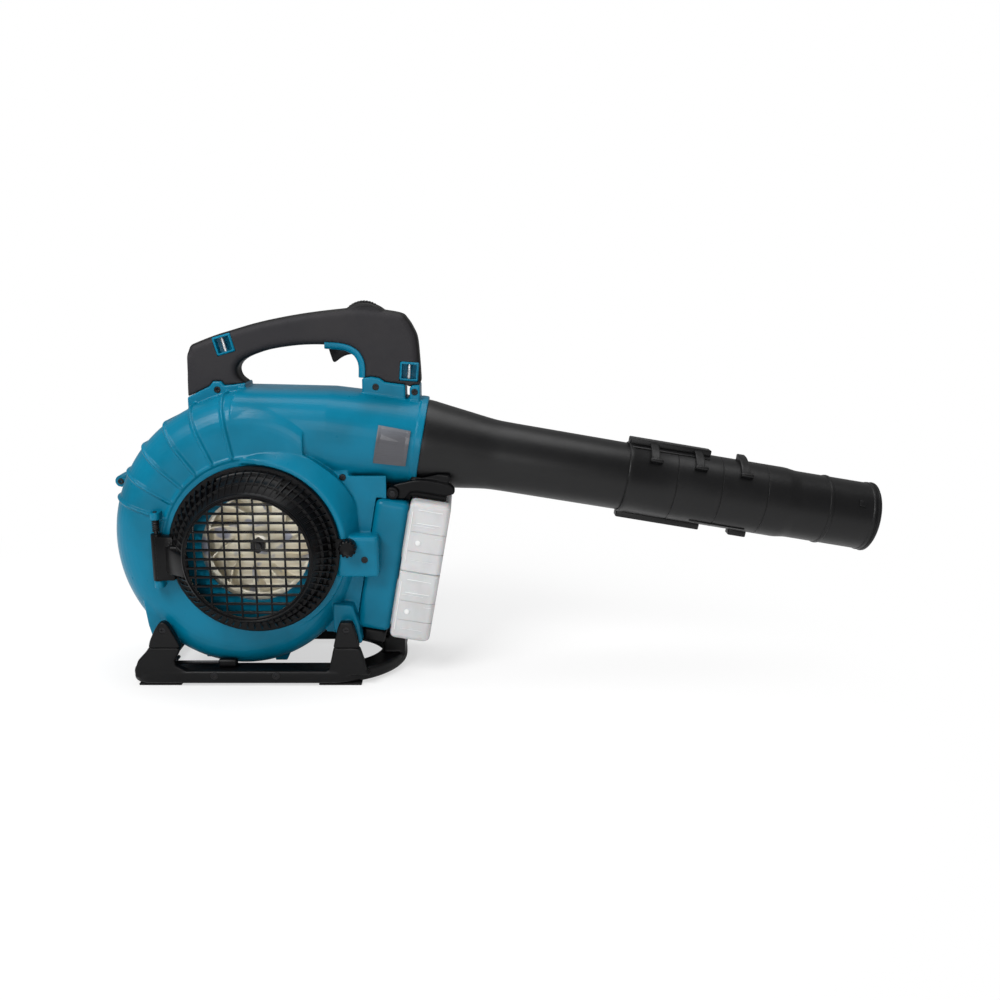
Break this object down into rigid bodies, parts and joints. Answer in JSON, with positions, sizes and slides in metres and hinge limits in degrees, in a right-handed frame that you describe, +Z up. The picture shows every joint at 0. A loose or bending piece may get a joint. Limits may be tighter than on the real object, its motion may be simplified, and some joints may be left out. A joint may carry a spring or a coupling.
{
  "type": "cordless leaf blower",
  "caption": "Hand-held cordless blower: scroll housing with a hinged intake cover, grip with trigger and dial, slide-on battery packs, telescopic nozzle and a skid base.",
  "frame": {"origin": "on the ground, under the middle of the outer box", "axes": "+X forward along the nozzle's heading, +Y to the motor side, away from the intake, +Z up"},
  "size_m": [0.8295, 0.205, 0.4053],
  "materials": {
    "black": "satin black moulding",
    "charcoal": "fine-grained charcoal moulding",
    "copper": "varnished copper windings on a laminated core",
    "cream": "natural cream plastic",
    "dark_steel": "blackened steel",
    "pack_grey": "pale translucent grey",
    "plate_grey": "bare dark grey plate",
    "rubber": "matt black rubber",
    "steel": "bright steel",
    "teal": "satin teal moulding"
  },
  "bodies": {
    "blower": {"base_frame": "black", "battery_bay": "teal", "bay_sill": "black", "bearing_front": "steel", "bearing_rear": "steel", "bracket_front_left": "black", "bracket_front_right": "black", "bracket_rear_left": "black", "bracket_rear_right": "black", "bracket_screw_front": "dark_steel", "bracket_screw_rear": "dark_steel", "control_unit": "plate_grey", "dial_pin": "steel", "foot_pad_front_left": "rubber", "foot_pad_front_right": "rubber", "foot_pad_rear_left": "rubber", "foot_pad_rear_right": "rubber", "handle_left": "charcoal", "handle_right": "charcoal", "handle_trim": "teal", "hinge_pin": "steel", "hinge_spring": "steel", "housing_left": "teal", "housing_right": "teal", "label_plate": "plate_grey", "lug_screw": "dark_steel", "motor_cover": "teal", "motor_mount": "dark_steel", "motor_stator": "copper", "nozzle_cradle": "black", "nozzle_pipe": "black", "saddle_screw": "dark_steel", "shoulder_screw": "dark_steel", "strap_anchor_front": "teal", "strap_anchor_rear": "teal", "strap_pin_front": "steel", "strap_pin_rear": "steel", "switch_unit": "charcoal", "tab_screw": "dark_steel", "terminal_block_lower": "charcoal", "terminal_block_upper": "charcoal", "trigger_pin": "steel", "wrench_holder": "black"},
    "fan": {"impeller": "cream", "impeller_nut": "dark_steel", "motor_shaft": "steel", "motor_rotor": "dark_steel"},
    "cover": {"intake_cover": "black", "intake_grille": "black"},
    "knob": {"lock_knob": "black"},
    "trigger": {"trigger": "black"},
    "dial": {"speed_dial": "black"},
    "extension": {"nozzle_extension": "black"},
    "pack_lower": {"battery_lower": "pack_grey"},
    "pack_upper": {"battery_upper": "pack_grey"},
    "button_lower": {"battery_button_lower": "charcoal"},
    "button_upper": {"battery_button_upper": "charcoal"},
    "wrench": {"hex_wrench": "dark_steel"}
  },
  "joints": [
    {"name": "fan_spin", "type": "hinge", "parent": "blower", "child": "fan", "pos_m": [-0.25973, -0.0105, 0.1508], "axis": [0, 1, 0], "continuous": true},
    {"name": "intake_cover_swing", "type": "hinge", "parent": "blower", "child": "cover", "pos_m": [-0.36073, -0.068, 0.1515], "axis": [0, 0, -1], "range_deg": [0, 110], "stiffness_Nm_per_rad": 0.04, "springref_deg": -22.92},
    {"name": "lock_knob_turn", "type": "hinge", "parent": "cover", "child": "knob", "pos_m": [-0.16123, -0.0745, 0.1549], "axis": [0, -1, 0], "range_deg": [0, 360]},
    {"name": "trigger_pull", "type": "hinge", "parent": "blower", "child": "trigger", "pos_m": [-0.14773, 0.0075, 0.353], "axis": [0, 1, 0], "range_deg": [0, 10], "stiffness_Nm_per_rad": 0.6, "springref_deg": -11.46},
    {"name": "speed_dial_turn", "type": "hinge", "parent": "blower", "child": "dial", "pos_m": [-0.14673, 0.0075, 0.3813], "axis": [0, 1, 0], "range_deg": [0, 240]},
    {"name": "nozzle_extend", "type": "slide", "parent": "blower", "child": "extension", "axis": [0.9861, 0, -0.1659], "range_m": [0, 0.1]},
    {"name": "battery_slide_lower", "type": "slide", "parent": "blower", "child": "pack_lower", "axis": [0, 1, 0], "range_m": [0, 0.12]},
    {"name": "battery_slide_upper", "type": "slide", "parent": "blower", "child": "pack_upper", "axis": [0, 1, 0], "range_m": [0, 0.12]},
    {"name": "battery_release_lower", "type": "slide", "parent": "pack_lower", "child": "button_lower", "axis": [0, -1, 0], "range_m": [0, 0.0025], "stiffness_N_per_m": 600, "springref_m": -0.003},
    {"name": "battery_release_upper", "type": "slide", "parent": "pack_upper", "child": "button_upper", "axis": [0, -1, 0], "range_m": [0, 0.0025], "stiffness_N_per_m": 600, "springref_m": -0.003},
    {"name": "hex_wrench_slide", "type": "slide", "parent": "blower", "child": "wrench", "axis": [-1, 0, 0], "range_m": [0, 0.018]}
  ]
}
